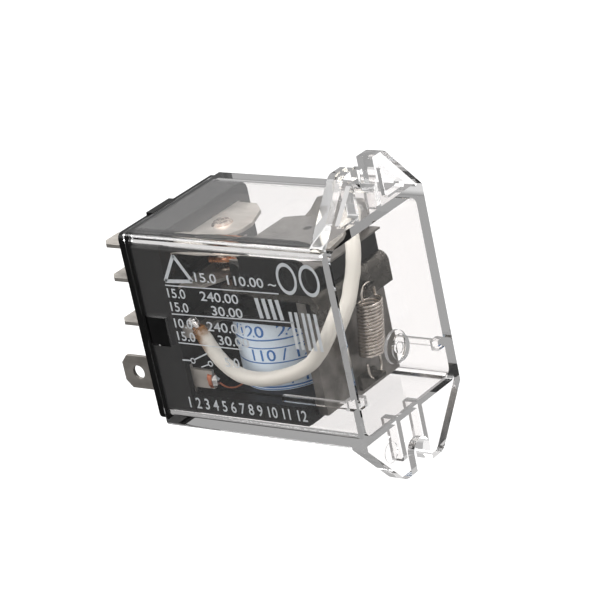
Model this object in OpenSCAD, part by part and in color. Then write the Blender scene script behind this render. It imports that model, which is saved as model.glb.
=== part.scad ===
// Plug in power relay, single pole changeover, in a clear case with a screw flange.
//
// Frame: the origin is the centre of the mounting face, which is the closed end of the case.
// +X points out of the mounting face, +Z runs along the flange from screw notch to screw notch,
// and the plug blades stand out of the base towards -X. All sizes are in millimetres.

/* [Case] */
// Width of the case, across the flange
case_w = 21.5; // [20.5:0.1:22.5]
// Height of the case, along the flange
case_h = 28; // [27:0.1:29]
// Length of the case from the mounting face to its open mouth
case_l = 33.3; // [33:0.1:34]
// Thickness of the case's side walls
wall = 1.1; // [0.9:0.1:1.2]
// Thickness of the case's closed end
end_wall = 1.5; // [1.2:0.1:1.6]
// Radius of the case's outer long edges
case_r = 0.6; // [0.3:0.1:1]
// Radius of the case's inner long edges
cavity_r = 1.5; // [0.8:0.1:2]

/* [Flange] */
// Overall length of the flange
flange_span = 42.5; // [42:0.1:43.5]
// Thickness of the flange
flange_t = 2.5; // [2:0.1:3]
// Distance between the screw notches' centres
notch_pitch = 38; // [37.5:0.1:38.5]
// Width of each screw notch
notch_w = 3.5; // [3.2:0.1:3.8]
// Half width of a flange lobe's outer end
lobe_tip = 4; // [3.8:0.1:4.5]
// Depth of the moulding pockets beside the upper notch
pocket_deep = 1.7; // [0.8:0.1:2]

/* [Base] */
// Thickness of the base's lip outside the case's mouth
lip_t = 1.2; // [1:0.1:1.5]
// Depth of the base's plug inside the case's mouth
plug_deep = 5; // [4.5:0.1:5.2]
// Gap all round between the base's plug and the case
plug_gap = 0.1; // [0.05:0.05:0.2]

/* [Blades] */
// Length of each blade outside the base
blade_l = 6.4; // [6:0.1:6.6]
// Width of each blade
blade_w = 4.8; // [4.5:0.1:5]
// Thickness of each blade
blade_t = 0.5; // [0.4:0.1:0.6]
// Diameter of the eye in each blade
eye_d = 2; // [1.8:0.1:2.2]
// Distance from the case's middle plane to each contact blade's middle
blade_y = 5; // [4.8:0.1:5.2]
// Distance from the case's middle plane to each coil blade
coil_blade_y = 8.4; // [8.2:0.1:8.6]
// Height of the normally closed plate
nc_z = 10.3; // [10.1:0.1:10.5]
// Height of the normally open plate
no_z = 5.4; // [5.2:0.1:5.5]
// Height of the common plate
common_z = -1; // [-1.4:0.1:-0.8]
// Height of the coil blades' middle
coil_blade_z = -7.6; // [-7.8:0.1:-7.4]

/* [Coil] */
// Distance from the mounting face to the coil's axis
coil_x = 18.3; // [18.1:0.1:18.5]
// Outer radius of the printed tape on the coil
tape_r = 6.45; // [6:0.05:6.6]
// Radius of the core
core_r = 2.8; // [2.4:0.1:3]
// Radius of the core's pole head
pole_r = 4.2; // [3.8:0.1:4.2]

/* [Armature] */
// Distance from the mounting face to the hinge line
hinge_x = 7.65; // [7.6:0.05:7.7]
// Thickness of the armature plate
armature_t = 1; // [0.8:0.1:1]
// Half width of the yoke and of the armature
iron_y = 7.3; // [7:0.1:7.4]
// Rise of the contact leaf towards the flange, in degrees
leaf_tilt = 4.46; // [4:0.02:4.6]

/* [Return spring] */
// Mean radius of the return spring's turns
spring_r = 1.6; // [1.3:0.05:1.6]
// Diameter of the spring wire
spring_wire = 0.4; // [0.3:0.05:0.4]
// Number of turns
spring_turns = 14; // [10:1:15]

/* [Hidden] */

$fn = 48;
eps = 0.01;          // overlap that makes a cut clean
fit = 0.02;          // clearance around a piece held in a moulding

// case and base
cav_y = case_w / 2 - wall;
cav_z = case_h / 2 - wall;
plug_x = case_l - plug_deep;
lip_x = case_l + lip_t;
arm_floor_z = [-12, -11.15];   // floor of the base's trough under the coil
arm_x = 9.6;                     // end of the trough
arm_y = [7.45, 9.3];             // inner and outer faces of the trough's side walls

// iron circuit
yoke_in_x = 9.1;
yoke_top = 4.7;
yoke_foot_z = [-11.1, -9.8];
pole_z = 4;
tail_x = [6.9, 5.9];             // inner and outer faces of the armature's tail
tail_z = 1.6;                    // lower edge of the armature's tail
arm_bottom = yoke_top + 0.1;
arm_top = arm_bottom + armature_t;
arm_front = 21.8;

// coil stack, from the yoke's foot up
bob_z = [-9.75, -9.0, 1.1, 2.2];
bob_r = 3.6;
winding_r = tape_r - 0.22;

// contacts
contact_x = 25.5;
leaf_t = 0.3;
leaf_x0 = 6;                     // where the leaf's slope is measured from
leaf_z0 = 8.85;                  // height of the leaf's top there
leaf_len = 21.5;
leaf_root = 5;                   // how far inside the card's rear edge the leaf starts
function leaf_top(x) = leaf_z0 - (x - leaf_x0) * tan(leaf_tilt);
nc_contact_z = 8.75;             // working face of the normally closed contact
no_contact_z = no_z + blade_t / 2 + 0.1;

// card
card_x = [7.2, 20];
card_top = 9;
card_y = 7.2;
card_rim = 0.7;
card_rim_top = 11.6;

// spring plate on the card, with the lug for the lead wire
plate_z = [9.02, 9.25];
plate_x = [6, 20];
lug_t = 0.3;

// return spring
spring_x = [5.8, 4.5];           // distance from the mounting face at the lower and upper end
spring_z = [-5.6, 2];            // lowest and highest turn
tab_z = [3.9, 4.4];              // lug on the armature's tail that holds the upper hook
anchor_z = [-8.9, -8.4];         // lug on the yoke that holds the lower hook
lug_y = 0.85;                    // half width of both lugs

// lead wire: centre points from the common terminal to the leaf's lug
lead_d = 2;
lead_path = [[-25.5, -8.5, 0.1], [-24.8, -8.5, -0.8], [-24.2, -8.5, -1.9],
             [-23.5, -8.5, -3.1], [-22.5, -8.5, -4.3], [-21.4, -8.5, -5.2], [-20.1, -8.5, -5.9],
             [-18.6, -8.5, -6.2], [-16.9, -8.5, -6.2], [-15.1, -8.5, -6.0], [-12.8, -8.5, -5.4],
             [-10.5, -8.5, -4.6], [-8.9, -8.5, -3.8], [-7.5, -8.5, -2.9], [-6.0, -8.45, -1.4],
             [-4.8, -8.2, 0.2], [-3.9, -7.7, 1.9], [-3.3, -6.8, 3.5], [-3.0, -5.8, 4.9],
             [-3.0, -4.8, 6.4], [-3.0, -3.9, 7.8], [-3.1, -3.2, 9.2], [-3.4, -2.4, 10.3],
             [-4.1, -1.4, 11.1], [-5.1, -0.1, 11.5], [-6.2, 1.4, 11.5], [-7.3, 2.9, 11.4],
             [-8.5, 4.7, 11.3]];
coil_lead_path = [[-24.2, -8.2, -7.6], [-23.4, -8.0, -8.2], [-22.4, -7.4, -8.5], [-21.6, -6.6, -8.2],
                  [-21.2, -6.1, -7.6]];

// --- shared shapes -------------------------------------------------------------------------

// Points of an arc round a corner
function arc(cx, cy, r, a0, a1, n = 6) =
    [for (i = [0:n]) [cx + r * cos(a0 + (a1 - a0) * i / n), cy + r * sin(a0 + (a1 - a0) * i / n)]];

// A solid with a rounded rectangular outline across X, from x = -from to x = -to
module bar(y, z, r, from, to, up = 0) {
    translate([-from, 0, up])
        rotate([90, 0, 90])
            linear_extrude(from - to) {
                square([2 * y - 2 * r, 2 * z], center = true);
                square([2 * y, 2 * z - 2 * r], center = true);
                for (a = [-1, 1], b = [-1, 1])
                    translate([a * (y - r), b * (z - r)]) circle(r);
            }
}

// A box between two opposite corners
module block(a, b) {
    translate([min(a.x, b.x), min(a.y, b.y), min(a.z, b.z)])
        cube([abs(a.x - b.x), abs(a.y - b.y), abs(a.z - b.z)]);
}

// An outline in X and Z carried across Y
module slice_y(points, half) {
    translate([0, half, 0]) rotate([90, 0, 0]) linear_extrude(2 * half) polygon(points);
}

// Unit vectors and a tube swept along a path of centre points
function unit(v) = v / norm(v);
function heading(p, i) = unit(p[min(i + 1, len(p) - 1)] - p[max(i - 1, 0)]);
function side(t) = unit(cross(t, abs(t.y) < 0.9 ? [0, 1, 0] : [1, 0, 0]));
function ring(c, t, r, n) =
    let (a = side(t), b = cross(t, a))
    [for (k = [0:n - 1]) c + r * (cos(360 * k / n) * a + sin(360 * k / n) * b)];
module tube(path, r, n) {
    m = len(path);
    points = [for (i = [0:m - 1]) each ring(path[i], heading(path, i), r, n)];
    walls = [for (i = [0:m - 2], k = [0:n - 1])
        [i * n + k, i * n + (k + 1) % n, (i + 1) * n + (k + 1) % n, (i + 1) * n + k]];
    first = [[for (k = [n - 1:-1:0]) k]];
    last = [[for (k = [0:n - 1]) (m - 1) * n + k]];
    polyhedron(points, concat(walls, first, last), convexity = 10);
}

// --- case ----------------------------------------------------------------------------------

lobe_z = flange_span / 2;
notch_z = notch_pitch / 2;
lobe_root_z = case_h / 2 - 0.6;
gate_z = -4.3;

// Outline of one flange lobe across X, drawn towards +Z
module lobe() {
    corner = 1.4;
    slope = atan2(lobe_z - case_h / 2, case_w / 2 - lobe_tip);
    round_y = lobe_tip - corner / 5;
    points = concat(
        [[-case_w / 2, lobe_root_z - 2], [case_w / 2, lobe_root_z - 2], [case_w / 2, case_h / 2]],
        arc(round_y, lobe_z - corner, corner, 90 - slope, 90),
        arc(-round_y, lobe_z - corner, corner, 90, 90 + slope),
        [[-case_w / 2, case_h / 2]]);
    translate([-flange_t, 0, 0]) rotate([90, 0, 90]) linear_extrude(flange_t) polygon(points);
}

// The open screw notch: a round seat with straight sides to the lobe's end
module notch() {
    translate([-flange_t - 1, 0, notch_z]) rotate([0, 90, 0]) cylinder(d = notch_w, h = flange_t + 2);
    block([-flange_t - 1, -notch_w / 2, notch_z], [1, notch_w / 2, lobe_z + 1]);
}

// A triangular moulding pocket beside the notch
module pocket(s) {
    r = 0.4;
    y0 = notch_w / 2 + 1.3;
    y1 = case_w / 2 - 3.5;
    z0 = case_h / 2 + 1.1;
    z1 = lobe_z - 1.6;
    translate([-pocket_deep, 0, 0]) rotate([90, 0, 90]) linear_extrude(pocket_deep + 1)
        polygon([[s * y0, z0 + r], [s * (y0 + r), z0], [s * (y1 - r), z0], [s * y1, z0 + r * 1.4],
                 [s * (y0 + r * 1.2), z1 - r * 0.4], [s * y0, z1 - r]]);
}

module cover() {
    rib_y = notch_w / 2 + 0.75;
    rib_t = 1.1;
    color([0.93, 0.94, 0.93, 0.35])
    difference() {
        union() {
            bar(case_w / 2, case_h / 2, case_r, case_l, 0);
            for (s = [0, 180]) rotate([s, 0, 0]) {
                lobe();
                // stiffening ribs from the case to the notch's sides
                for (b = [-1, 1])
                    block([-flange_t - 1.6, b * rib_y - rib_t / 2, case_h / 2 - 0.2],
                          [-flange_t + 0.2, b * rib_y + rib_t / 2, notch_z + 0.3]);
            }
        }
        difference() {
            bar(cav_y, cav_z, cavity_r, case_l + 1, end_wall);
            // guide rails for the yoke and a boss behind the gate mark
            for (s = [-1, 1]) {
                block([-12.8, s * (cav_y - 0.7), -8.5], [0, s * case_w / 2, -7.7]);
                block([-2.6, s * (cav_y - 1.5), -8.7], [0, s * case_w / 2, -7.3]);
            }
            translate([-end_wall - 0.5, 0, gate_z]) rotate([0, 90, 0]) cylinder(r = 2.25, h = 2);
        }
        for (s = [0, 180]) rotate([s, 0, 0]) notch();
        for (b = [-1, 1]) pocket(b);
        // ejector mark on the lower near lobe
        translate([-0.15, -6.2, -16.3]) rotate([0, 90, 0]) cylinder(r = 1.4, h = 1);
        // snap windows in both side walls
        block([-32.7, -case_w, -2], [-29.4, case_w, 2.1]);
        // gate mark: a shallow dish with a nub left in its middle
        difference() {
            translate([-0.6, 0, gate_z]) rotate([0, 90, 0]) cylinder(r = 1.8, h = 1);
            translate([-1, 0, gate_z]) rotate([0, 90, 0]) cylinder(r = 0.8, h = 0.75);
        }
    }
}

// --- base ----------------------------------------------------------------------------------

// Latch nose that snaps into the case's window
module latch(s) {
    rotate([90, 0, 0]) translate([0, 0, s > 0 ? -case_w / 2 + 0.15 : cav_y - plug_gap - 0.5])
        linear_extrude(case_w / 2 - 0.15 - cav_y + plug_gap + 0.5)
            polygon([[-32.6, -1.9], [-29.6, -1.9], [-29.6, 2], [-32.6, 2]]);
}

module base() {
    color([0.09, 0.09, 0.09])
    difference() {
        union() {
            bar(case_w / 2 - 0.25, 13.5, 0.9, lip_x, case_l, up = 0.2);
            bar(cav_y - plug_gap, cav_z - plug_gap, cavity_r, case_l + eps, plug_x);
            for (s = [-1, 1]) latch(s);
            // trough that carries the magnet
            intersection() {
                bar(cav_y - plug_gap, cav_z - plug_gap, cavity_r, plug_x + 0.5, arm_x);
                union() {
                    block([-plug_x - 0.5, -arm_y[1], arm_floor_z[0]], [-arm_x, arm_y[1], arm_floor_z[1]]);
                    for (s = [-1, 1])
                        block([-plug_x - 0.5, s * arm_y[0], arm_floor_z[0]], [-arm_x, s * arm_y[1], -9.2]);
                }
            }
            // raised stop on the lip's upper edge
            block([-lip_x, -4.2, 13], [-case_l - fit, 0.7, 14.1]);
        }
        // inside recess between the terminals
        block([-plug_x - 1.6, -7.6, 6.2], [-plug_x + 1, 7.6, 9.3]);
        block([-plug_x - 1.6, -7.6, 0.4], [-plug_x + 1, 7.6, 4.2]);
        block([-plug_x - 1.6, -6.6, -10.2], [-plug_x + 1, 6.6, -2.4]);
        // shallow seats round the blades on the outside
        for (z = [nc_z, no_z, common_z], s = [-1, 1])
            block([-lip_x - 1, s * blade_y - 3, z - 1.1], [-lip_x + 0.5, s * blade_y + 3, z + 1.1]);
        for (s = [-1, 1])
            block([-lip_x - 1, s * coil_blade_y - 1.1, coil_blade_z - 3],
                  [-lip_x + 0.5, s * coil_blade_y + 1.1, coil_blade_z + 3]);
        // centre mark of the mould on the outside
        translate([-lip_x - 1, 0, -8]) rotate([0, 90, 0]) cylinder(r = 2, h = 1.3);
        // opening under the core's riveted end
        translate([-coil_x, 0, arm_floor_z[0] - 1]) cylinder(r = core_r + 1.2, h = 4);
        // slots that hold the terminals
        plate_slot(nc_z);
        plate_slot(no_z);
        plate_slot(common_z, 8.65);
        for (s = [-1, 1])
            block([-lip_x - 1, s * coil_blade_y - blade_t / 2 - fit, coil_blade_z - blade_w / 2 - fit],
                  [-plug_x + 1, s * coil_blade_y + blade_t / 2 + fit, coil_blade_z + blade_w / 2 + fit]);
    }
}

// Slot through the base for one contact plate: wide inside, two blades wide outside
module plate_slot(z, half = 7.4) {
    block([-lip_x + 1.5, -half - fit, z - blade_t / 2 - fit],
          [-plug_x + 1, half + fit, z + blade_t / 2 + fit]);
    for (s = [-1, 1])
        block([-lip_x - 1, s * blade_y - blade_w / 2 - fit, z - blade_t / 2 - fit],
              [-lip_x + 1.6, s * blade_y + blade_w / 2 + fit, z + blade_t / 2 + fit]);
}

// --- terminals -----------------------------------------------------------------------------

// One plug blade lying in the X-Y plane, its tip at -X, with a chamfered end
module blade() {
    c = 1.1;
    tip = -lip_x - blade_l;
    h = blade_w / 2;
    linear_extrude(blade_t, center = true)
        polygon([[-lip_x + 1.5, -h], [-lip_x + 1.5, h], [tip + c * 0.9, h], [tip, h - c],
                 [tip, -h + c], [tip + c * 0.9, -h]]);
}

eye_x = lip_x + blade_l - 2.6;

// A contact plate with two blades outside and a shaped tongue inside
module contact_plate(z, tongue, half = 7.4) {
    translate([0, 0, z])
    difference() {
        union() {
            for (s = [-1, 1]) translate([0, s * blade_y, 0]) blade();
            translate([-lip_x + 1.5, -half, -blade_t / 2]) cube([lip_x - 1.5 - plug_x, 2 * half, blade_t]);
            linear_extrude(blade_t, center = true) polygon(tongue);
        }
        for (s = [-1, 1]) translate([-eye_x, s * blade_y, -1]) cylinder(d = eye_d, h = 2);
    }
}

module terminal_closed() {
    color([0.78, 0.76, 0.7])
    contact_plate(nc_z, [[-plug_x - 0.2, -7], [-24.9, -6.9], [-22.9, -5.1], [-21.2, -1],
                         [-21.2, 1], [-22.9, 5.1], [-24.9, 6.9], [-plug_x - 0.2, 7]]);
}

module terminal_open() {
    color([0.78, 0.76, 0.7])
    contact_plate(no_z, [[-plug_x - 0.2, -6.5], [-25, -6.5], [-23.2, -3.5], [-23.2, 3.5],
                         [-25, 6.5], [-plug_x - 0.2, 6.5]]);
}

module terminal_common() {
    color([0.78, 0.76, 0.7]) {
        contact_plate(common_z, [[-plug_x - 0.2, -8.6], [-26.2, -8.6], [-26.2, 5], [-plug_x - 0.2, 5]],
                      half = 8.6);
        // solder tab turned up on the near side
        block([-plug_x + 0.1, -8.6, common_z - blade_t / 2], [-26.2, -8.6 + blade_t, common_z + 1.4]);
    }
}

// A coil terminal: a blade on edge outside, a narrow winding post inside
module coil_terminal(s) {
    color([0.78, 0.76, 0.7])
    difference() {
        translate([0, s * coil_blade_y, coil_blade_z]) {
            rotate([90, 0, 0]) blade();
            translate([-lip_x + 1.4, -blade_t / 2, -blade_w / 2])
                cube([lip_x - 1.4 - plug_x, blade_t, blade_w]);
            translate([-plug_x - 0.1, -blade_t / 2, -0.8]) cube([3.6, blade_t, 2.6]);
        }
        translate([-eye_x, s * coil_blade_y, coil_blade_z]) rotate([90, 0, 0])
            cylinder(d = eye_d, h = 4, center = true);
    }
}
module coil_terminal_front() { coil_terminal(-1); }
module coil_terminal_rear() { coil_terminal(1); }

// --- fixed contacts ------------------------------------------------------------------------

module fixed_contact_closed() {
    top = nc_z + blade_t / 2;
    color([0.82, 0.8, 0.76]) {
        translate([-contact_x, 0, nc_contact_z]) cylinder(r = 1.7, h = nc_z - blade_t / 2 - nc_contact_z);
        translate([-contact_x, 0, top]) cylinder(r1 = 1.5, r2 = 1.2, h = 0.35);
    }
}

module fixed_contact_open() {
    bottom = no_z - blade_t / 2;
    color([0.82, 0.8, 0.76]) {
        translate([-contact_x, 0, no_z + blade_t / 2])
            cylinder(r = 1.7, h = no_contact_z - no_z - blade_t / 2);
        translate([-contact_x, 0, bottom - 0.35]) cylinder(r1 = 1.2, r2 = 1.5, h = 0.35);
    }
}

// --- magnet --------------------------------------------------------------------------------

module yoke() {
    color([0.55, 0.54, 0.5])
    difference() {
        union() {
            slice_y([[-yoke_in_x, yoke_foot_z[0]], [-hinge_x, yoke_foot_z[0]], [-hinge_x, yoke_top],
                     [-yoke_in_x, yoke_top]], iron_y);
            slice_y([[-24.5, yoke_foot_z[0]], [-yoke_in_x + 0.2, yoke_foot_z[0]],
                     [-yoke_in_x + 0.2, yoke_foot_z[1]], [-24.5, yoke_foot_z[1]]], 6.2);
        }
        translate([-coil_x, 0, yoke_foot_z[0] - 1]) cylinder(r = core_r + fit, h = 4);
    }
}

module core() {
    color([0.5, 0.49, 0.46])
    difference() {
        union() {
            translate([-coil_x, 0, yoke_foot_z[0] - 0.05])
                cylinder(r = core_r, h = pole_z - 1 - yoke_foot_z[0] + 0.05 + eps);
            translate([-coil_x, 0, pole_z - 1]) cylinder(r = pole_r, h = 1);
            // riveted end under the yoke's foot
            translate([-coil_x, 0, yoke_foot_z[0] - 0.65])
                cylinder(r1 = core_r, r2 = core_r + 0.5, h = 0.6 + eps);
        }
        ring_groove(0.6);
    }
}

// Groove in the pole face for the shading ring
module ring_groove(w, deep = 0.6) {
    difference() {
        translate([-coil_x, 0, pole_z - deep]) cylinder(r = 3 + w / 2, h = deep + 1);
        translate([-coil_x, 0, pole_z - deep - 1]) cylinder(r = 3 - w / 2, h = deep + 3);
    }
}

module shading_ring() {
    color([0.72, 0.42, 0.26])
    intersection() {
        difference() {
            translate([-coil_x, 0, pole_z - 0.6]) cylinder(r = 3.25, h = 0.55);
            translate([-coil_x, 0, pole_z - 1]) cylinder(r = 2.75, h = 2);
        }
        translate([-coil_x, 0, 0]) cube([20, 20, 20], center = true);
    }
}

module bobbin() {
    x0 = coil_x + 6.7;
    x1 = yoke_in_x + 0.1;
    color([0.1, 0.1, 0.1])
    difference() {
        union() {
            block([-x0, -7.2, bob_z[0]], [-x1, 7.2, bob_z[1]]);
            block([-x0, -7.2, bob_z[2]], [-x1, 7.2, bob_z[3]]);
            translate([-coil_x, 0, bob_z[1] - eps]) cylinder(r = bob_r, h = bob_z[2] - bob_z[1] + 2 * eps);
            // collar round the pole head
            translate([-coil_x, 0, bob_z[3] - eps]) cylinder(r = pole_r + 0.9, h = 1.2);
        }
        translate([-coil_x, 0, bob_z[0] - 1]) cylinder(r = core_r + fit, h = 20);
        translate([-coil_x, 0, pole_z - 1 - fit]) cylinder(r = pole_r + fit, h = 5);
    }
}

module coil_winding() {
    color([0.66, 0.32, 0.16])
    translate([-coil_x, 0, bob_z[1]])
        difference() {
            cylinder(r = winding_r, h = bob_z[2] - bob_z[1]);
            translate([0, 0, -1]) cylinder(r = bob_r + fit, h = 20);
        }
}

module coil_tape() {
    color([0.85, 0.89, 0.93])
    translate([-coil_x, 0, bob_z[1] + 0.05])
        difference() {
            cylinder(r = tape_r, h = bob_z[2] - bob_z[1] - 0.1);
            translate([0, 0, -1]) cylinder(r = winding_r + fit, h = 20);
        }
}

module coil_lead(s) { color([0.72, 0.4, 0.3]) mirror([0, s > 0 ? 1 : 0, 0]) tube(coil_lead_path, 0.14, 6); }
module coil_lead_front() { coil_lead(-1); }
module coil_lead_rear() { coil_lead(1); }

// Solder round the end of each coil terminal's winding post
module coil_solder(s) {
    color([0.8, 0.8, 0.8])
    difference() {
        translate([-24.7, s * coil_blade_y, coil_blade_z + 0.2]) sphere(r = 0.75, $fn = 24);
        translate([0, s * coil_blade_y, coil_blade_z])
            translate([-plug_x - 1, -blade_t / 2 - fit, -0.8 - fit]) cube([4.52, blade_t + 2 * fit, 2.64]);
        // room for the end of the lead
        translate([-24.3, s * 8.2, -7.6]) sphere(r = 0.3, $fn = 16);
    }
}
module coil_solder_front() { coil_solder(-1); }
module coil_solder_rear() { coil_solder(1); }

// --- return spring -------------------------------------------------------------------------

module spring_anchor() {
    color([0.55, 0.54, 0.5])
    difference() {
        union() {
            block([-hinge_x, -lug_y, anchor_z[0]], [-spring_x[0] + 0.9, lug_y, anchor_z[1]]);
            block([-hinge_x, -1.8, anchor_z[1] - 1.9], [-hinge_x + 0.6, 1.8, anchor_z[1]]);
        }
        // seat that keeps the hook from slipping off
        translate([-spring_x[0], 0, anchor_z[0]]) rotate([90, 0, 0])
            cylinder(r = spring_wire / 2 + 0.05, h = 4, center = true);
    }
}

module return_spring() {
    steps = 12;
    n = spring_turns * steps;
    turns = [for (i = [0:n]) let (a = 360 * i / steps, t = i / n)
        [-spring_x[0] + (spring_x[0] - spring_x[1]) * t + spring_r * cos(a), spring_r * sin(a),
         spring_z[0] + (spring_z[1] - spring_z[0]) * t]];
    color([0.72, 0.71, 0.68]) tube(turns, spring_wire / 2, 6);
}

// --- moving group --------------------------------------------------------------------------

module armature() {
    bend = 1.4;
    cz = arm_top - bend;
    cx = -tail_x[1] - bend;
    color([0.6, 0.59, 0.55])
    difference() {
        union() {
            block([-arm_front, -6.4, arm_bottom], [cx, 6.4, arm_top]);
            block([-16, -iron_y, arm_bottom], [cx, iron_y, arm_top]);
            // rounded bend at the rear, then the tail behind the yoke
            intersection() {
                translate([cx, iron_y, cz]) rotate([90, 0, 0])
                    difference() {
                        cylinder(r = bend, h = 2 * iron_y);
                        translate([0, 0, -1]) cylinder(r = bend - armature_t, h = 2 * iron_y + 2);
                    }
                block([cx, -iron_y, cz], [0, iron_y, arm_top + 1]);
            }
            block([-tail_x[0], -iron_y, tail_z], [-tail_x[1], iron_y, cz]);
            // lug for the spring's upper hook
            block([-tail_x[1] - 0.1, -lug_y, tab_z[0]], [-spring_x[1] + 0.9, lug_y, tab_z[1]]);
        }
        // seat that keeps the hook from slipping off
        translate([-spring_x[1], 0, tab_z[1]]) rotate([90, 0, 0])
            cylinder(r = spring_wire / 2 + 0.05, h = 4, center = true);
        // relief in the tail for the spring's upper turns
        translate([-spring_x[1], 0, tail_z - 1]) cylinder(r = spring_r + 0.5, h = 2.2);
    }
}

// The leaf's flat shape, thickened by grow all round for its slot in the card
module leaf_slab(grow) {
    translate([-leaf_x0, 0, leaf_z0]) rotate([0, -leaf_tilt, 0])
        translate([0, 0, -leaf_t - grow])
            linear_extrude(leaf_t + 2 * grow)
                polygon([[-leaf_root + grow, -4 - grow], [-leaf_root + grow, 4 + grow],
                         [-13.4 - grow, 4 + grow], [-13.4 - grow, 2.4 + grow],
                         [-leaf_len + 0.8, 2.4 + grow], [-leaf_len, 1.6], [-leaf_len, -1.6],
                         [-leaf_len + 0.8, -2.4 - grow], [-13.4 - grow, -2.4 - grow],
                         [-13.4 - grow, -4 - grow]]);
}

module insulating_card() {
    color([0.11, 0.11, 0.11])
    difference() {
        union() {
            translate([0, 0, arm_top]) linear_extrude(card_top - arm_top)
                polygon([[-card_x[0], -card_y], [-17.4, -card_y], [-18.6, -6.5], [-card_x[1], -6.05],
                         [-card_x[1], 6.05], [-18.6, 6.5], [-17.4, card_y], [-card_x[0], card_y]]);

            // near side wall, standing up past the lead wire
            translate([0, -card_y + card_rim / 2, 0])
                slice_y([[-card_x[0], card_top - 0.2], [-17.3, card_top - 0.2], [-17.3, 10.8],
                         [-16.5, card_rim_top], [-card_x[0] - 0.8, card_rim_top], [-card_x[0], 10.8]],
                        card_rim / 2);
        }
        leaf_slab(fit);
    }
}

module contact_leaf() {
    color([0.72, 0.4, 0.22])
    difference() {
        leaf_slab(0);
        translate([-contact_x, 0, 5]) cylinder(r = 0.8, h = 5);
    }
}

// Gray plate that clamps the leaf to the card, its far edge turned up as the wire's lug
module spring_plate() {
    near = -card_y + card_rim + 0.05;
    color([0.62, 0.61, 0.58])
    difference() {
        union() {
            translate([0, 0, plate_z[0]]) linear_extrude(plate_z[1] - plate_z[0])
                polygon([[-plate_x[0], near], [-plate_x[1], -5.8], [-plate_x[1], 6], [-18.6, 6.5],
                         [-17.4, 6.9], [-plate_x[0], 6.9]]);
            translate([0, 6.9 + lug_t / 2, 0])
                slice_y([[-17.4, plate_z[0]], [-16, 10.2], [-14.5, 12], [-13.8, 12.2], [-8.6, 12.2],
                         [-8, 11.6], [-8, plate_z[0]]], lug_t / 2);
        }
        // rivet holes
        for (y = [-3.2, 3.2]) translate([-14, y, 8]) cylinder(r = 0.6, h = 3);
    }
}

module moving_contact() {
    z = leaf_top(contact_x);
    color([0.82, 0.8, 0.76])
    translate([-contact_x, 0, z - leaf_t / 2]) {
        translate([0, 0, -leaf_t / 2 - 0.45]) cylinder(r = 1.6, h = 0.3);
        translate([0, 0, -0.35]) cylinder(r = 0.76, h = 0.7);
        translate([0, 0, leaf_t / 2 + 0.14]) cylinder(r = 1.6, h = nc_contact_z - z - 0.19);
    }
}

// --- lead wire -----------------------------------------------------------------------------

module lead_wire() {
    color([0.93, 0.91, 0.86]) tube(lead_path, lead_d / 2, 10);
}

module lead_solder_common() {
    color([0.82, 0.82, 0.8])
    difference() {
        translate([-26.3, -8.1, 0.7]) sphere(r = 0.9, $fn = 24);
        block([-30, -8.62, -3], [-26.18, -8.08, 0.42]);
    }
}

module lead_solder_plate() {
    color([0.82, 0.82, 0.8])
    difference() {
        translate([-9, 6, 11.2]) sphere(r = 0.95, $fn = 24);
        block([-12, 6.88, 8], [-7, 8, 13]);
    }
}

cover();
base();
terminal_closed();
terminal_open();
terminal_common();
coil_terminal_front();
coil_terminal_rear();
fixed_contact_closed();
fixed_contact_open();
yoke();
core();
shading_ring();
bobbin();
coil_winding();
coil_tape();
coil_lead_front();
coil_lead_rear();
coil_solder_front();
coil_solder_rear();
spring_anchor();
return_spring();
armature();
insulating_card();
contact_leaf();
spring_plate();
moving_contact();
lead_wire();
lead_solder_common();
lead_solder_plate();
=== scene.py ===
import math

import bmesh
import bpy
from mathutils import Matrix, Vector


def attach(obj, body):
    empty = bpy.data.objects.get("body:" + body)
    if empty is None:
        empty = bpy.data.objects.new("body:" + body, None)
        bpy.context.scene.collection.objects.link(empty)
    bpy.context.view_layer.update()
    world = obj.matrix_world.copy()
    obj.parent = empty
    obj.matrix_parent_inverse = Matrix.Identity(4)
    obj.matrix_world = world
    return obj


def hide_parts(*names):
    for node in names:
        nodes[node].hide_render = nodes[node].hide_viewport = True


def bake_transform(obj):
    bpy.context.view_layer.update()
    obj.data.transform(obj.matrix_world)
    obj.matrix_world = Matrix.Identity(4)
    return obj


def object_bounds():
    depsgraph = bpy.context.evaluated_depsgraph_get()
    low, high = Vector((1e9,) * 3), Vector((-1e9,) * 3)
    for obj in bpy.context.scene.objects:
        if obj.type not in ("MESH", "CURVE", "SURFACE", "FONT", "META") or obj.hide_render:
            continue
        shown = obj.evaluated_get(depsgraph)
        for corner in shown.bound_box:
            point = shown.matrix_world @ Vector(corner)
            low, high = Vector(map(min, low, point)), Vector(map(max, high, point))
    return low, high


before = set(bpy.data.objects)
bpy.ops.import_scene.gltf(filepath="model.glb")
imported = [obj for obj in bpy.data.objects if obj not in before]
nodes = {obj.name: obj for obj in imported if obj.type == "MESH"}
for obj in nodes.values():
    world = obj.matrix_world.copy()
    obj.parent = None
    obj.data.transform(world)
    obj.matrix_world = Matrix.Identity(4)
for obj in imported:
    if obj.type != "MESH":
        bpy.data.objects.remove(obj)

cad_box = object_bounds()
MM = 0.001
scene = bpy.context.scene

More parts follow.
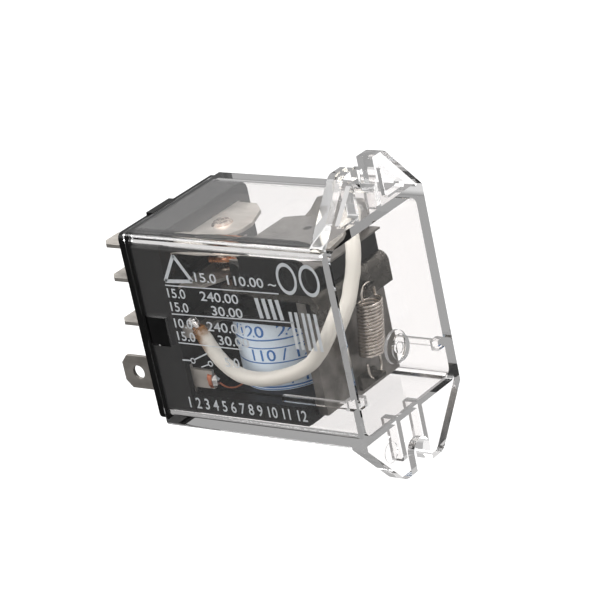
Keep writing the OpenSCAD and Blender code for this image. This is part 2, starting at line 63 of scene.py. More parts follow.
# Places that the CAD fixes, in millimetres
HALF_WIDTH = 10.75
COIL_X = -18.3
TAPE_R = 6.45
SPRING_X = (-5.8, -4.5)      # axis of the spring at its lowest and its highest turn
SPRING_Z = (-5.6, 2.0)
SPRING_TURN_R = 1.6
SPRING_WIRE_R = 0.19
HOOK_Z = (-8.88, 4.38)       # where the hooks bear on the two lugs
SPRING_TURNS = 16
HOOK_R = 1.42                # radius of the end hooks' loops
LEAD_R = 1.0
LEAD_PATH = [
    (-25.5, -8.5, 0.1), (-24.8, -8.5, -0.8), (-24.2, -8.5, -1.9),
    (-23.5, -8.5, -3.1), (-22.5, -8.5, -4.3), (-21.4, -8.5, -5.2), (-20.1, -8.5, -5.9),
    (-18.6, -8.5, -6.2), (-16.9, -8.5, -6.2), (-15.1, -8.5, -6.0), (-12.8, -8.5, -5.4),
    (-10.5, -8.5, -4.6), (-8.9, -8.5, -3.8), (-7.5, -8.5, -2.9), (-6.0, -8.45, -1.4),
    (-4.8, -8.2, 0.2), (-3.9, -7.7, 1.9), (-3.3, -6.8, 3.5), (-3.0, -5.8, 4.9),
    (-3.0, -4.8, 6.4), (-3.0, -3.9, 7.8), (-3.1, -3.2, 9.2), (-3.4, -2.4, 10.3),
    (-4.1, -1.4, 11.1), (-5.1, -0.1, 11.5), (-6.2, 1.4, 11.5), (-7.3, 2.9, 11.4),
    (-8.5, 4.7, 11.3)]
COIL_LEAD_PATH = [
    (-24.2, -8.2, -7.6), (-23.4, -8.0, -8.2), (-22.4, -7.4, -8.5), (-21.6, -6.6, -8.2),
    (-21.2, -6.1, -7.6)]
COMMON_STRANDS = [(-25.4, -8.45, 0.0), (-25.9, -8.3, 0.6), (-26.5, -8.15, 1.0)]
PLATE_STRANDS = [(-8.4, 4.55, 11.3), (-8.8, 5.3, 11.25), (-9.0, 6.2, 11.2)]


def vec(p):
    """A point in millimetres as a vector in metres."""
    return Vector(p) * MM


# --- camera --------------------------------------------------------------------------------

CAMERA_PLACE = (215.58, -267.03, 140.61)   # in millimetres
CAMERA_TURN = (40.823, 21.569, -12.147)    # azimuth, elevation and roll in degrees
CAMERA_LENS = 174.5
CAMERA_SENSOR = 36


def make_camera():
    """The photograph's viewpoint."""
    data = bpy.data.cameras.new("camera")
    data.sensor_width = CAMERA_SENSOR
    data.lens = CAMERA_LENS
    data.clip_start = 0.01
    camera = bpy.data.objects.new("camera", data)
    scene.collection.objects.link(camera)
    azimuth, elevation, roll = (math.radians(angle) for angle in CAMERA_TURN)
    turn = (Matrix.Rotation(azimuth, 4, "Z") @ Matrix.Rotation(math.pi / 2 - elevation, 4, "X")
            @ Matrix.Rotation(roll, 4, "Z"))
    camera.matrix_world = Matrix.Translation(vec(CAMERA_PLACE)) @ turn
    scene.camera = camera


# --- materials -----------------------------------------------------------------------------

POLYCARBONATE_IOR = 1.585
LEAK_AFTER = 1.5        # mirrorings inside a wall after which its light is let out
BUMP_DEPTH = 0.00005


def new_material(name):
    """A material with a principled shader: the material, its nodes, the shader and the output."""
    m = bpy.data.materials.new(name)
    m.use_nodes = True
    tree = m.node_tree
    tree.nodes.clear()
    out = tree.nodes.new("ShaderNodeOutputMaterial")
    shader = tree.nodes.new("ShaderNodeBsdfPrincipled")
    tree.links.new(shader.outputs[0], out.inputs[0])
    return m, tree, shader, out


def noise(tree, scale, detail=3.0, stretch=(1, 1, 1)):
    """Noise in the piece's own coordinates, in metres, so one scale unit is 1 mm at scale 1000."""
    coords = tree.nodes.new("ShaderNodeTexCoord")
    mapping = tree.nodes.new("ShaderNodeMapping")
    mapping.inputs["Scale"].default_value = stretch
    texture = tree.nodes.new("ShaderNodeTexNoise")
    texture.inputs["Scale"].default_value = scale
    texture.inputs["Detail"].default_value = detail
    tree.links.new(coords.outputs["Object"], mapping.inputs[0])
    tree.links.new(mapping.outputs[0], texture.inputs["Vector"])
    return texture


def surface(name, color, dark, rough, metal=0.0, scale=600, stretch=(1, 1, 1), bump=0.0,
            bump_scale=2500, rough_spread=0.1, coat=0.0, specular=0.5):
    """A material whose colour and roughness drift a little over the surface, with a fine bump."""
    m, tree, shader, _ = new_material(name)
    texture = noise(tree, scale, stretch=stretch)
    ramp = tree.nodes.new("ShaderNodeValToRGB")
    ramp.color_ramp.elements[0].position = 0.3
    ramp.color_ramp.elements[1].position = 0.7
    ramp.color_ramp.elements[0].color = (*dark, 1)
    ramp.color_ramp.elements[1].color = (*color, 1)
    tree.links.new(texture.outputs["Fac"], ramp.inputs[0])
    tree.links.new(ramp.outputs[0], shader.inputs["Base Color"])
    spread = tree.nodes.new("ShaderNodeMapRange")
    spread.inputs["To Min"].default_value = max(rough - rough_spread, 0.02)
    spread.inputs["To Max"].default_value = rough + rough_spread
    tree.links.new(texture.outputs["Fac"], spread.inputs["Value"])
    tree.links.new(spread.outputs[0], shader.inputs["Roughness"])
    shader.inputs["Metallic"].default_value = metal
    shader.inputs["Coat Weight"].default_value = coat
    shader.inputs["Specular IOR Level"].default_value = specular
    if bump:
        fine = noise(tree, bump_scale, detail=2.0, stretch=stretch)
        node = tree.nodes.new("ShaderNodeBump")
        node.inputs["Strength"].default_value = bump
        node.inputs["Distance"].default_value = BUMP_DEPTH
        tree.links.new(fine.outputs["Fac"], node.inputs["Height"])
        tree.links.new(node.outputs[0], shader.inputs["Normal"])
    return m


def clear_plastic():
    """Clear polycarbonate. Shadow rays go straight through it. Light that has been mirrored more
    than once goes straight through it too, in place of being trapped in a wall and lost, so that
    the edges are gray and not black."""
    m, tree, shader, out = new_material("clear polycarbonate")
    shader.inputs["Base Color"].default_value = (0.99, 0.975, 0.97, 1)
    shader.inputs["Transmission Weight"].default_value = 1
    shader.inputs["IOR"].default_value = POLYCARBONATE_IOR
    texture = noise(tree, 120)
    spread = tree.nodes.new("ShaderNodeMapRange")
    spread.inputs["To Min"].default_value = 0.0
    spread.inputs["To Max"].default_value = 0.03
    tree.links.new(texture.outputs["Fac"], spread.inputs["Value"])
    tree.links.new(spread.outputs[0], shader.inputs["Roughness"])
    path = tree.nodes.new("ShaderNodeLightPath")
    through = tree.nodes.new("ShaderNodeBsdfTransparent")
    through.inputs[0].default_value = (0.95, 0.95, 0.95, 1)
    leak = tree.nodes.new("ShaderNodeMath")
    leak.operation = "GREATER_THAN"
    leak.inputs[1].default_value = LEAK_AFTER
    tree.links.new(path.outputs["Glossy Depth"], leak.inputs[0])
    either = tree.nodes.new("ShaderNodeMath")
    either.operation = "MAXIMUM"
    tree.links.new(path.outputs["Is Shadow Ray"], either.inputs[0])
    tree.links.new(leak.outputs[0], either.inputs[1])
    mix = tree.nodes.new("ShaderNodeMixShader")
    tree.links.new(either.outputs[0], mix.inputs[0])
    tree.links.new(shader.outputs[0], mix.inputs[1])
    tree.links.new(through.outputs[0], mix.inputs[2])
    tree.links.new(mix.outputs[0], out.inputs[0])
    return m


def sleeve_material():
    """Cream insulation, browned by flux next to its soldered start, which is the lowest X."""
    m, tree, shader, _ = new_material("cream sleeve")
    coords = tree.nodes.new("ShaderNodeTexCoord")
    split = tree.nodes.new("ShaderNodeSeparateXYZ")
    tree.links.new(coords.outputs["Object"], split.inputs[0])
    edge = tree.nodes.new("ShaderNodeMapRange")
    edge.inputs["From Min"].default_value = -23.3 * MM
    edge.inputs["From Max"].default_value = -24.9 * MM
    tree.links.new(split.outputs["X"], edge.inputs["Value"])
    texture = noise(tree, 900)
    times = tree.nodes.new("ShaderNodeMath")
    times.operation = "MULTIPLY"
    tree.links.new(edge.outputs[0], times.inputs[0])
    tree.links.new(texture.outputs["Fac"], times.inputs[1])
    ramp = tree.nodes.new("ShaderNodeValToRGB")
    ramp.color_ramp.elements[0].position = 0.12
    ramp.color_ramp.elements[0].color = (0.61, 0.585, 0.53, 1)
    ramp.color_ramp.elements[1].position = 0.42
    ramp.color_ramp.elements[1].color = (0.19, 0.085, 0.02, 1)
    tree.links.new(times.outputs[0], ramp.inputs[0])
    tree.links.new(ramp.outputs[0], shader.inputs["Base Color"])
    shader.inputs["Roughness"].default_value = 0.42
    bump = tree.nodes.new("ShaderNodeBump")
    bump.inputs["Strength"].default_value = 0.3
    bump.inputs["Distance"].default_value = 0.0001
    tree.links.new(texture.outputs["Fac"], bump.inputs["Height"])
    tree.links.new(bump.outputs[0], shader.inputs["Normal"])
    return m


def make_materials():
    """Every material of the object, by the name the pieces use."""
    return {
        "clear": clear_plastic(),
        "black": surface("black moulding", (0.007, 0.007, 0.007), (0.004, 0.004, 0.004), 0.32,
                         bump=0.25, bump_scale=3000, specular=0.18),
        "card": surface("black card", (0.008, 0.008, 0.008), (0.005, 0.005, 0.005), 0.4, bump=0.2,
                        specular=0.18),
        "tinned": surface("tinned brass", (0.54, 0.51, 0.47), (0.41, 0.38, 0.345), 0.42, metal=0.8,
                          scale=900, bump=0.2, stretch=(0.4, 1, 1)),
        "silver": surface("silver contact", (0.92, 0.82, 0.73), (0.66, 0.47, 0.37), 0.26, metal=1,
                          scale=1500, bump=1.0, bump_scale=2600),
        "steel": surface("plated steel", (0.30, 0.285, 0.265), (0.17, 0.16, 0.15), 0.34, metal=1,
                         scale=500, bump=0.2),
        "dark steel": surface("dark plated steel", (0.17, 0.16, 0.145), (0.09, 0.085, 0.075), 0.25,
                              metal=1, scale=500, bump=0.3),
        "copper": surface("copper leaf", (0.86, 0.40, 0.20), (0.62, 0.24, 0.10), 0.28, metal=0.55,
                          scale=700, bump=0.15),
        "wire": surface("enamelled wire", (0.62, 0.24, 0.13), (0.42, 0.13, 0.07), 0.3, metal=0.8),
        "tape": surface("printed tape", (0.78, 0.87, 0.95), (0.70, 0.80, 0.90), 0.35, scale=300),
        "ink blue": surface("blue ink", (0.05, 0.18, 0.48), (0.03, 0.14, 0.42), 0.5),
        "ink white": surface("white ink", (0.66, 0.68, 0.70), (0.56, 0.58, 0.60), 0.55, scale=1200),
        "solder": surface("bright solder", (0.86, 0.85, 0.83), (0.62, 0.61, 0.6), 0.16, metal=1,
                          scale=1500, bump=0.3),
        "flux": surface("browned flux", (0.16, 0.07, 0.02), (0.06, 0.025, 0.01), 0.25, scale=1500,
                        bump=0.4, coat=0.5),
        "spring": surface("spring wire", (0.86, 0.81, 0.75), (0.6, 0.54, 0.48), 0.16, metal=1,
                          scale=1500),
        "sleeve": sleeve_material(),
    }


# --- small builders ------------------------------------------------------------------------

def put(name, mesh, material, body="frame"):
    """Makes a mesh into a piece of the object that rides on a body."""
    piece = bpy.data.objects.new(name.replace(" ", "_"), mesh)
    scene.collection.objects.link(piece)
    mesh.materials.clear()
    mesh.materials.append(material)
    if body:
        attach(piece, body)
    return piece


def dress(name, material, bevel=0.0, segments=2):
    """Gives a CAD node its material and, with bevel in mm, eased edges."""
    piece = nodes[name]
    for s in piece.material_slots:
        s.material = material
    if bevel:
        mod = piece.modifiers.new("eased edges", "BEVEL")
        mod.width = bevel * MM
        mod.segments = segments
        mod.limit_method = "ANGLE"
        mod.angle_limit = math.radians(35)
        mod.harden_normals = True
    return piece


def catmull(points, steps):
    """A smooth line through points, with steps pieces between each two."""
    ends = [2 * Vector(points[0]) - Vector(points[1])] + [Vector(p) for p in points]
    ends.append(2 * Vector(points[-1]) - Vector(points[-2]))
    line = []
    for i in range(1, len(ends) - 2):
        a, b, c, d = ends[i - 1:i + 3]
        for k in range(steps):
            t = k / steps
            line.append(0.5 * (2 * b + (c - a) * t + (2 * a - 5 * b + 4 * c - d) * t * t
                               + (3 * b - a - 3 * c + d) * t ** 3))
    line.append(ends[-2])
    return line


def tube_mesh(name, line, radius, sides=16):
    """A smooth tube with closed ends along line, in mm. radius may be a number or one per point."""
    radii = radius if isinstance(radius, list) else [radius] * len(line)
    mesh = bpy.data.meshes.new(name)
    bm = bmesh.new()
    rings = []
    across = None
    for i, centre in enumerate(line):
        ahead = (line[min(i + 1, len(line) - 1)] - line[max(i - 1, 0)]).normalized()
        if across is None:
            across = ahead.orthogonal().normalized()
        across = (across - ahead * across.dot(ahead)).normalized()
        up = ahead.cross(across)
        rings.append([
            bm.verts.new((centre + radii[i] * (math.cos(a) * across + math.sin(a) * up)) * MM)
            for a in (2 * math.pi * k / sides for k in range(sides))])
    for one, two in zip(rings, rings[1:]):
        for k in range(sides):
            bm.faces.new((one[k], one[(k + 1) % sides], two[(k + 1) % sides], two[k]))
    bm.faces.new(reversed(rings[0]))
    bm.faces.new(rings[-1])
    bmesh.ops.recalc_face_normals(bm, faces=bm.faces)
    for f in bm.faces:
        f.smooth = True
    bm.to_mesh(mesh)
    bm.free()
    return mesh


def blob_mesh(name, centre, size, lumps=0.12, seed=1.0):
    """A lumpy drop of solder: centre and size along X, Y and Z in mm."""
    mesh = bpy.data.meshes.new(name)
    bm = bmesh.new()
    bmesh.ops.create_icosphere(bm, subdivisions=4, radius=1)
    for v in bm.verts:
        n = v.co.normalized()
        wave = (math.sin(5 * n.x + seed) * math.cos(4 * n.y - seed)
                + 0.6 * math.sin(7 * n.z + 2 * seed))
        swollen = Vector([n[i] * size[i] * (1 + lumps * wave) for i in range(3)])
        v.co = (Vector(centre) + swollen) * MM
    for f in bm.faces:
        f.smooth = True
    bm.to_mesh(mesh)
    bm.free()
    return mesh


def plate_mesh(name, outline, thick, place):
    """A thin plate: a closed outline in mm carried to 3-D by place(u, v, w), w from 0 to thick."""
    mesh = bpy.data.meshes.new(name)
    bm = bmesh.new()
    low = [bm.verts.new(Vector(place(u, v, 0)) * MM) for u, v in outline]
    high = [bm.verts.new(Vector(place(u, v, thick)) * MM) for u, v in outline]
    n = len(outline)
    bm.faces.new(low)
    bm.faces.new(reversed(high))
    for i in range(n):
        bm.faces.new((low[i], high[i], high[(i + 1) % n], low[(i + 1) % n]))
    bmesh.ops.recalc_face_normals(bm, faces=bm.faces)
    bm.to_mesh(mesh)
    bm.free()
    return mesh


FONT_SCALE = 1.38       # font size for a numeral one unit high
TEXT_THICK = 0.01       # half the thickness of printed numerals
TEXT_WEIGHT = 0.012     # how much a numeral's strokes are fattened, for each unit of height


def text_outline_mesh(name, body, height, length):
    """A thin extruded mesh of generic numerals, its left foot at the origin, in mm."""
    data = bpy.data.curves.new(name, "FONT")
    data.body = body
    data.size = height * FONT_SCALE
    data.extrude = TEXT_THICK
    data.resolution_u = 4
    data.offset = height * TEXT_WEIGHT
    made = bpy.data.objects.new(name, data)
    scene.collection.objects.link(made)
    bpy.context.view_layer.update()
    depsgraph = bpy.context.evaluated_depsgraph_get()
    mesh = bpy.data.meshes.new_from_object(made.evaluated_get(depsgraph))
    bpy.data.objects.remove(made)
    left = min(v.co.x for v in mesh.vertices)
    right = max(v.co.x for v in mesh.vertices)
    for v in mesh.vertices:
        v.co.x = (v.co.x - left) * length / (right - left)
    return mesh


# --- print on the case ---------------------------------------------------------------------

PRINT_Y = -HALF_WIDTH - 0.004
PRINT_THICK = 0.02
WHOLE_RING = 359.9      # degrees of a ring whose two ends stay just apart


def on_side(u, v, w):
    """A point of the print, w deep in it, on the case's near side."""
    return (u, PRINT_Y + PRINT_THICK - w, v)


def print_text(name, body, x, z, height, length, ink):
    """A row of numerals with its left foot at x, z."""
    mesh = text_outline_mesh(name, body, height, length)
    for v in mesh.vertices:
        v.co = vec((x + v.co.x, PRINT_Y - v.co.z, z + v.co.y))
    return put(name, mesh, ink)


def print_stroke(name, x0, z0, x1, z1, width, ink):
    """A straight printed stroke between two points on the side."""
    along = Vector((x1 - x0, z1 - z0)).normalized()
    off = Vector((-along.y, along.x)) * width / 2
    outline = [(x0 + off.x, z0 + off.y), (x1 + off.x, z1 + off.y),
               (x1 - off.x, z1 - off.y), (x0 - off.x, z0 - off.y)]
    return put(name, plate_mesh(name, outline, PRINT_THICK, on_side), ink)


def print_arc(name, x, z, radius, width, start, end, ink, squash=1.0):
    """A printed arc, a whole ring if it goes right round."""
    count = max(int(abs(end - start) / 8), 6)
    angles = [math.radians(start + (end - start) * i / count) for i in range(count + 1)]
    big, small = radius + width / 2, radius - width / 2
    outer = [(x + squash * big * math.cos(a), z + big * math.sin(a)) for a in angles]
    inner = [(x + squash * small * math.cos(a), z + small * math.sin(a)) for a in reversed(angles)]
    return put(name, plate_mesh(name, outer + inner, PRINT_THICK, on_side), ink)


def make_print(ink):
    """Generic ratings table: rules, plain numerals, a contact symbol and plain bars."""
    print_stroke("print rule 1", -27.9, 7.0, -9.1, 7.3, 0.16, ink)
    print_stroke("print rule 2", -27.9, 2.9, -7.6, 3.4, 0.16, ink)
    print_stroke("print rule 3", -27.9, -1.24, -17.3, -1.24, 0.16, ink)
    print_text("print row 1", "15.0  110.00 ~", -22.5, 7.95, 1.35, 13.3, ink)
    # each row: height, left numeral, right numeral, the right one's start and length
    rows = [(5.3, "15.0", "240.00", -22.3, 6.3), (3.35, "15.0", "30.00", -20.9, 5.1),
            (1.0, "10.0", "240.00", -22.3, 6.3), (-0.85, "15.0", "30.00", -20.9, 5.1)]
    for i, (z, left, right, start, length) in enumerate(rows):
        print_text(f"print row {i + 2} left", left, -27.8, z, 1.35, 3.0, ink)
        print_text(f"print row {i + 2} right", right, start, z, 1.35, length, ink)
    # hollow triangle at the top left
    corners = [Vector((-25.4, 11.4)), Vector((-27.7, 7.6)), Vector((-23.1, 7.9))]
    for i in range(3):
        a, b = corners[i], corners[(i + 1) % 3]
        print_stroke(f"print triangle side {i + 1}", a.x, a.y, b.x, b.y, 0.5, ink)
    # two plain rings at the top right
    for i, x in enumerate((-7.3, -3.7)):
        print_arc(f"print ring {i + 1}", x, 9.5, 1.95, 0.5, 0, WHOLE_RING, ink, squash=0.72)
    # blocks of plain bars under the rings
    for i, x in enumerate((-13.0, -11.9, -10.8, -9.7)):
        print_stroke(f"print bar {i + 1}", x, 6.4, x + 0.3, 3.6, 0.6, ink)
    for i, x in enumerate((-7.9, -7.0, -5.9, -5.0, -4.0)):
        print_stroke(f"print tall bar {i + 1}", x, 4.9, x, -0.3, 0.5, ink)
    # contact symbol
    print_stroke("print symbol lead", -27.9, -3.75, -26.5, -3.7, 0.2, ink)
    print_arc("print symbol ring 1", -26.1, -3.7, 0.34, 0.16, 0, WHOLE_RING, ink)
    print_stroke("print symbol blade", -25.8, -3.5, -23.4, -2.4, 0.18, ink)
    print_arc("print symbol ring 2", -23.2, -3.85, 0.34, 0.16, 0, WHOLE_RING, ink)
    print_stroke("print symbol contact", -23.5, -4.0, -24.9, -4.5, 0.16, ink)
    print_text("print symbol value", "5.0", -20.6, -4.0, 1.4, 2.4, ink)
    # terminal numbers along the lower edge
    print_text("print numbers", "1 2 3 4 5 6 7 8 9 10 11 12", -28.4, -10.7, 1.6, 19.6, ink)


# --- print on the coil tape ----------------------------------------------------------------

def wrap(mesh, start_angle, z0, radius):
    """Bends a flat mesh in mm round the coil: its X runs round, its Y up, its Z outwards."""
    for v in mesh.vertices:
        angle = start_angle + v.co.x / radius
        r = radius + v.co.z
        v.co = vec((COIL_X + r * math.cos(angle), r * math.sin(angle), z0 + v.co.y))
    return mesh


def tape_band(name, z, width, ink):
    """A thin printed band round the tape."""
    mesh = bpy.data.meshes.new(name)
    bm = bmesh.new()
    count = 96
    inner, outer = TAPE_R - 0.02, TAPE_R + 0.015
    low, high = z - width / 2, z + width / 2
    corners = [(inner, low), (outer, low), (outer, high), (inner, high)]
    angles = [math.radians(360 * i / count) for i in range(count)]
    rings = [[bm.verts.new(vec((COIL_X + r * math.cos(a), r * math.sin(a), h)))
              for r, h in corners] for a in angles]
    for i in range(count):
        one, two = rings[i], rings[(i + 1) % count]
        for k in range(4):
            bm.faces.new((one[k], one[(k + 1) % 4], two[(k + 1) % 4], two[k]))
    bmesh.ops.recalc_face_normals(bm, faces=bm.faces)
    for f in bm.faces:
        f.smooth = True
    bm.to_mesh(mesh)
    bm.free()
    return put(name, mesh, ink)


def make_tape_print(ink):
    """Blue rules and generic numerals round the coil."""
    lines = [(-1.75, 0.2), (-2.9, 0.16), (-5.0, 0.16), (-8.45, 0.22), (-8.8, 0.12)]
    for i, (z, width) in enumerate(lines):
        tape_band(f"tape line {i + 1}", z, width, ink)
    # each row: numerals, height on the coil, size, length, start angle in radians
    rows = [("/120  24", -1.3, 1.65, 9.8, -2.1), ("110 / 120", -4.7, 1.65, 9.8, -1.68),
            ("100 / 110", -8.1, 1.6, 9.8, -1.6)]
    for i, (body, z, height, length, start) in enumerate(rows):
        mesh = text_outline_mesh(f"tape numerals {i + 1}", body, height, length)
        wrap(mesh, start, z, TAPE_R + 0.005)
        put(f"tape numerals {i + 1}", mesh, ink)


# --- spring, wires and solder --------------------------------------------------------------

def spring_line():
    """Lower hook, close turns, upper hook, as one line of centre points in mm."""
    steps = 28
    low_x, high_x = SPRING_X
    low_z, high_z = SPRING_Z

    def hook(x, bearing, free, up):
        """A loop round a lug, from its free end to the leg that joins the turns."""
        middle = bearing - up * HOOK_R
        points = [Vector((x, -HOOK_R, free)), Vector((x, -HOOK_R, (free + middle) / 2))]
        for k in range(13):
            a = math.pi * k / 12
            points.append(Vector((x, -HOOK_R * math.cos(a), middle + up * HOOK_R * math.sin(a))))
        return points

    line = catmull(hook(low_x, HOOK_Z[0], low_z - 0.9, -1)
                   + [Vector((low_x, HOOK_R, low_z - 0.8)),
                      Vector((low_x + 0.2, SPRING_TURN_R, low_z - 0.3))], 3)
    for i in range(SPRING_TURNS * steps + 1):
        t = i / (SPRING_TURNS * steps)
        a = math.pi / 2 + 2 * math.pi * i / steps
        line.append(Vector((low_x + (high_x - low_x) * t + SPRING_TURN_R * math.cos(a),
                            SPRING_TURN_R * math.sin(a), low_z + (high_z - low_z) * t)))
    top = catmull(hook(high_x, HOOK_Z[1], high_z + 0.5, 1)
                  + [Vector((high_x - 0.2, SPRING_TURN_R, high_z + 0.25))], 3)
    return line + list(reversed(top))


def make_spring(materials):
    """The spring's wire, its lower end on the case's side and its upper end on the armature."""
    piece = put("return spring", tube_mesh("return spring", spring_line(), SPRING_WIRE_R, 12),
                materials["spring"], body=None)
    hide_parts("return_spring")
    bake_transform(piece)


def make_lead(materials):
    """The sleeved wire from the common tab to the plate, and the bare strands at its ends."""
    line = catmull(LEAD_PATH, 6)
    radii = [LEAD_R - 0.02 + 0.012 * math.sin(0.9 * i) for i in range(len(line))]
    piece = put("lead wire sleeve", tube_mesh("lead wire sleeve", line, radii, 28),
                materials["sleeve"], body=None)
    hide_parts("lead_wire")
    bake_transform(piece)
    strands = catmull(COMMON_STRANDS, 6)
    put("bare strands at the common tab", tube_mesh("bare strands", strands, 0.55, 16),
        materials["solder"])
    tail = catmull(PLATE_STRANDS, 6)
    put("bare strands at the plate", tube_mesh("bare strands at the plate", tail, 0.5, 16),
        materials["copper"], "armature_group")


def make_solder(materials):
    """The solder joints, and the browned flux where the sleeve starts."""
    # each blob: piece, CAD node, centre, half sizes, seed, body
    blobs = [
        ("lead solder at the common tab", "lead_solder_common", (-26.5, -8.1, 0.85),
         (0.85, 0.7, 0.75), 1.0, "frame"),
        ("lead solder at the plate", "lead_solder_plate", (-9.0, 6.1, 11.2), (0.9, 0.75, 0.8),
         2.0, "armature_group"),
        ("front coil solder", "coil_solder_front", (-24.6, -8.4, -7.3), (0.62, 0.5, 0.85),
         3.0, "frame"),
        ("rear coil solder", "coil_solder_rear", (-24.6, 8.4, -7.3), (0.62, 0.5, 0.85),
         4.0, "frame")]
    for name, node, centre, size, seed, body in blobs:
        mesh = blob_mesh(name, centre, size, 0.12, seed)
        piece = put(name, mesh, materials["solder"], body)
        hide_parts(node)
    put("flux at the sleeve", blob_mesh("flux", (-25.35, -8.5, 0.0), (0.75, 1.0, 0.7), 0.14, 5.0),
        materials["flux"])


def make_coil_leads(materials):
    """The fine wires from the winding to the two coil terminals, with their wraps."""
    for side, node in ((1, "coil_lead_front"), (-1, "coil_lead_rear")):
        points = [(x, side * y, z) for x, y, z in COIL_LEAD_PATH]
        name = "front coil lead" if side > 0 else "rear coil lead"
        piece = put(name, tube_mesh(name, catmull(points, 8), 0.12, 10), materials["wire"])
        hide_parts(node)
        # the wire's wraps round the terminal's post
        post = [Vector((-24.9 - 0.07 * i / 4, side * (-8.4 + 0.55 * math.cos(i * 0.8)),
                        -7.3 + 1.05 * math.sin(i * 0.8))) for i in range(36)]
        put(f"{name} wraps", tube_mesh(f"{name} wraps", post, 0.1, 8), materials["wire"])


# --- stage ---------------------------------------------------------------------------------

FLOOR_SEEN = 1.22      # glow of the floor where the camera sees it
FLOOR_TURNED = 0.36    # its glow for light that was turned about inside the case
FLOOR_MIRRORED = 0.05  # its glow as the object's outside mirrors it
FLOOR_HALF = 4.0       # half the floor's side, in metres
FLOOR_GAP = 0.0005     # how far it lies under the object
SKY_TURNED = (0.3, 0.8)      # the room at the horizon and above, for turned light
SKY_MIRRORED = (0.1, 0.55)   # the same for light mirrored by the object's outside


def below(tree, value, limit):
    """1 where a value is below a limit."""
    node = tree.nodes.new("ShaderNodeMath")
    node.operation = "LESS_THAN"
    node.inputs[1].default_value = limit
    tree.links.new(value, node.inputs[0])
    return node.outputs[0]


def mixed(tree, factor, low, high):
    """A colour between low and high, each of them a gray level or a socket."""
    node = tree.nodes.new("ShaderNodeMixRGB")
    tree.links.new(factor, node.inputs[0])
    for socket, colour in ((node.inputs[1], low), (node.inputs[2], high)):
        if isinstance(colour, float):
            socket.default_value = (colour, colour, colour, 1)
        else:
            tree.links.new(colour, socket)
    return node.outputs[0]


def by_path(tree, seen, turned, mirrored):
    """Three levels for three kinds of ray: one from the camera that met nothing but clear plastic,
    one that was turned about inside the case, and one mirrored by the object's outside."""
    path = tree.nodes.new("ShaderNodeLightPath")
    bounces = tree.nodes.new("ShaderNodeMath")
    bounces.operation = "ADD"
    tree.links.new(path.outputs["Diffuse Depth"], bounces.inputs[0])
    tree.links.new(path.outputs["Glossy Depth"], bounces.inputs[1])
    bounced = mixed(tree, below(tree, path.outputs["Transmission Depth"], 0.5), turned, mirrored)
    return mixed(tree, below(tree, bounces.outputs[0], 0.5), bounced, seen)


def make_floor(low):
    """A plain white floor just under the object's lowest point."""
    size = FLOOR_HALF
    mesh = bpy.data.meshes.new("floor")
    z = low - FLOOR_GAP
    mesh.from_pydata([(-size, -size, z), (size, -size, z), (size, size, z), (-size, size, z)], [],
                     [(0, 1, 2, 3)])
    floor = bpy.data.objects.new("floor", mesh)
    scene.collection.objects.link(floor)
    m = bpy.data.materials.new("white floor")
    m.use_nodes = True
    tree = m.node_tree
    tree.nodes.clear()
    out = tree.nodes.new("ShaderNodeOutputMaterial")
    plain = tree.nodes.new("ShaderNodeBsdfDiffuse")
    plain.inputs[0].default_value = (0.02, 0.02, 0.02, 1)
    glow = tree.nodes.new("ShaderNodeEmission")
    both = tree.nodes.new("ShaderNodeAddShader")
    tree.links.new(by_path(tree, FLOOR_SEEN, FLOOR_TURNED, FLOOR_MIRRORED), glow.inputs["Color"])
    tree.links.new(plain.outputs[0], both.inputs[0])
    tree.links.new(glow.outputs[0], both.inputs[1])
    tree.links.new(both.outputs[0], out.inputs[0])
    mesh.materials.append(m)


def gray_ramp(tree, height, low, high):
    """A gray level that rises with height from the horizon to the upper sky."""
    ramp = tree.nodes.new("ShaderNodeValToRGB")
    elements = ramp.color_ramp.elements
    elements[0].position = 0.0
    elements[0].color = (low, low, low, 1)
    elements[1].position = 0.4
    elements[1].color = (high, high, high, 1)
    tree.links.new(height, ramp.inputs[0])
    return ramp.outputs[0]


def make_world():
    """A white backdrop; turned and reflected light sees a room that is lighter above."""
    world = bpy.data.worlds.new("studio")
    scene.world = world
    world.use_nodes = True
    tree = world.node_tree
    tree.nodes.clear()
    out = tree.nodes.new("ShaderNodeOutputWorld")
    back = tree.nodes.new("ShaderNodeBackground")
    coords = tree.nodes.new("ShaderNodeTexCoord")
    split = tree.nodes.new("ShaderNodeSeparateXYZ")
    tree.links.new(coords.outputs["Generated"], split.inputs[0])
    turned = gray_ramp(tree, split.outputs["Z"], *SKY_TURNED)
    mirrored = gray_ramp(tree, split.outputs["Z"], *SKY_MIRRORED)
    tree.links.new(by_path(tree, 1.0, turned, mirrored), back.inputs[0])
    back.inputs["Strength"].default_value = 1.0
    tree.links.new(back.outputs[0], out.inputs[0])


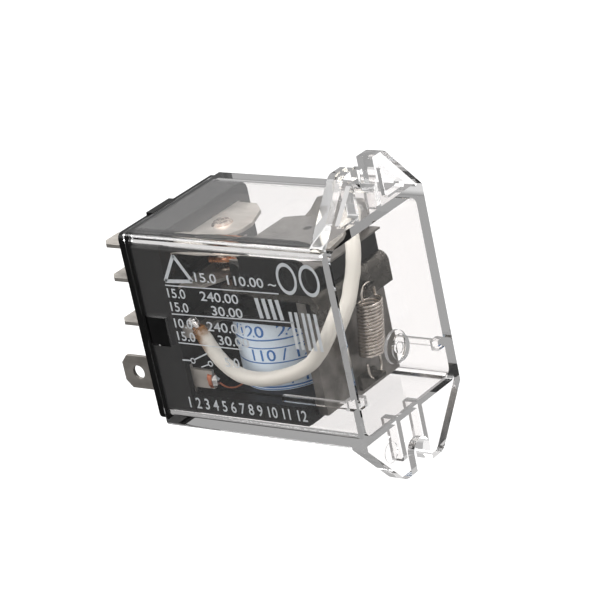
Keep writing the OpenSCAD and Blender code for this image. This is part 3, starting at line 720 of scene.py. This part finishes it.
def soft_box(name, place, target, size, power):
    """A soft light, in metres and watts, that isn't seen through the clear case."""
    data = bpy.data.lights.new(name, "AREA")
    data.shape = "RECTANGLE"
    data.size, data.size_y = size
    data.energy = power
    light = bpy.data.objects.new(name, data)
    scene.collection.objects.link(light)
    light.location = place
    aim = Vector(target) - Vector(place)
    light.rotation_euler = aim.to_track_quat("-Z", "Y").to_euler()
    light.visible_transmission = False


def make_lights():
    """Four soft boxes round the object."""
    centre = (-0.02, 0, 0)
    soft_box("top box", (-0.05, 0.05, 0.55), centre, (0.5, 0.5), 5.5)
    soft_box("left box", (-0.45, -0.35, 0.35), centre, (0.3, 0.4), 1.6)
    soft_box("right box", (0.5, 0.1, 0.3), centre, (0.3, 0.4), 1.4)
    soft_box("front box", (0.05, -0.5, 0.2), centre, (0.12, 0.12), 0.4)


# --- the scene -----------------------------------------------------------------------------

def make_object(materials):
    """Dresses the CAD nodes and makes every piece that only Blender draws."""
    dress("cover", materials["clear"], 0.22, 3)
    dress("base", materials["black"], 0.15)
    for name in ("terminal_closed", "terminal_open", "terminal_common", "coil_terminal_front",
                 "coil_terminal_rear"):
        dress(name, materials["tinned"], 0.07)
    for name in ("fixed_contact_closed", "fixed_contact_open", "moving_contact"):
        dress(name, materials["silver"], 0.12)
    dress("yoke", materials["steel"], 0.12)
    dress("armature", materials["dark steel"], 0.12)
    dress("spring_anchor", materials["dark steel"], 0.06)
    for name in ("core", "spring_plate"):
        dress(name, materials["steel"], 0.06)
    dress("shading_ring", materials["copper"])
    dress("contact_leaf", materials["copper"], 0.05)
    dress("insulating_card", materials["card"], 0.12)
    dress("bobbin", materials["black"], 0.1)
    dress("coil_winding", materials["wire"])
    dress("coil_tape", materials["tape"])
    make_print(materials["ink white"])
    make_tape_print(materials["ink blue"])
    make_spring(materials)
    make_lead(materials)
    make_solder(materials)
    make_coil_leads(materials)


make_camera()
make_object(make_materials())
make_floor(cad_box[0][2])
make_world()
make_lights()
scene.view_settings.view_transform = "Standard"
scene.cycles.max_bounces = 40
scene.cycles.transmission_bounces = 40
scene.cycles.glossy_bounces = 24
scene.cycles.transparent_max_bounces = 32
